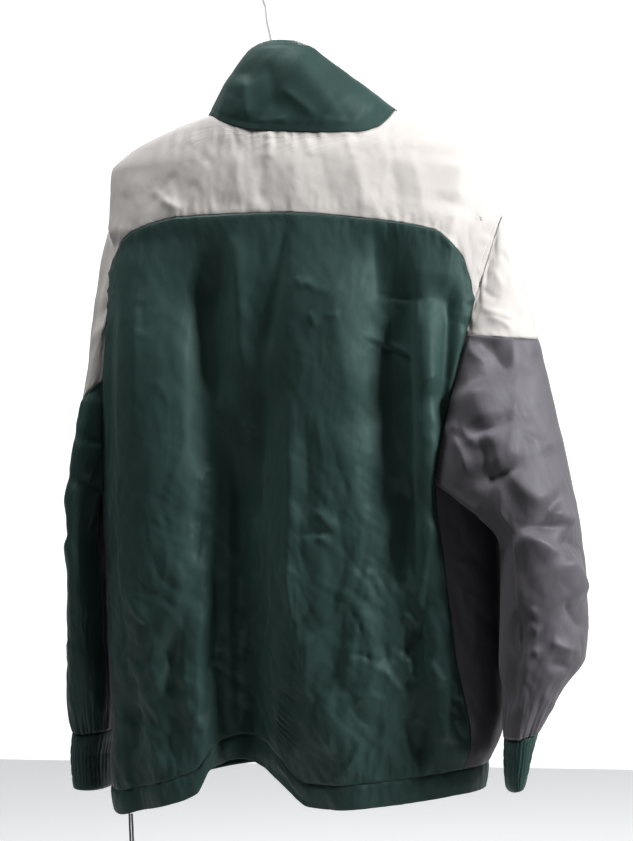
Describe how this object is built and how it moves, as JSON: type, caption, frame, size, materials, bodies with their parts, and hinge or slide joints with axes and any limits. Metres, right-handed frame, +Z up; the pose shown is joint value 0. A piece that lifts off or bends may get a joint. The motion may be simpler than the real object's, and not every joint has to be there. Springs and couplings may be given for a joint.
{
  "type": "windbreaker on a hanger",
  "caption": "Colour-blocked windbreaker with a stand collar, front zip and drawcord hem, hanging open at neck, cuffs and hem on a plain plastic hanger.",
  "frame": {"origin": "top of the inside of the hanger's hook, where it rests on a rail", "axes": "+X along the hanger to the wearer's left, +Y toward the back of the jacket, +Z up along the hook's pull"},
  "size_m": [0.6355, 0.1866, 1.0406],
  "materials": {
    "green_cloth": "satin woven nylon",
    "white_cloth": "satin woven nylon",
    "grey_cloth": "satin woven nylon",
    "zip_tape": "woven tape with moulded teeth",
    "zip_metal": "plated",
    "white_plastic": "moulded",
    "black_cord": "round braid"
  },
  "bodies": {
    "jacket": {"back_panel": "green_cloth", "back_yoke": "white_cloth", "collar": "green_cloth", "cuff_left": "green_cloth", "cuff_right": "green_cloth", "drawcord": "black_cord", "front_panel_left": "green_cloth", "front_panel_right": "green_cloth", "front_yoke_left": "white_cloth", "front_yoke_right": "white_cloth", "hanger": "white_plastic", "hem_casing": "green_cloth", "side_panel_left": "grey_cloth", "side_panel_right": "grey_cloth", "sleeve_back_left": "green_cloth", "sleeve_back_right": "grey_cloth", "sleeve_cap_left": "white_cloth", "sleeve_cap_right": "white_cloth", "sleeve_front_left": "grey_cloth", "sleeve_front_right": "green_cloth", "zip": "zip_tape", "zip_slider": "zip_metal"},
    "pull": {"zip_pull": "zip_metal"}
  },
  "joints": [
    {"name": "pull_hinge", "type": "hinge", "parent": "jacket", "child": "pull", "pos_m": [-0.012, -0.06674, -0.28177], "axis": [-1, 0, 0], "range_deg": [0, 100]}
  ]
}
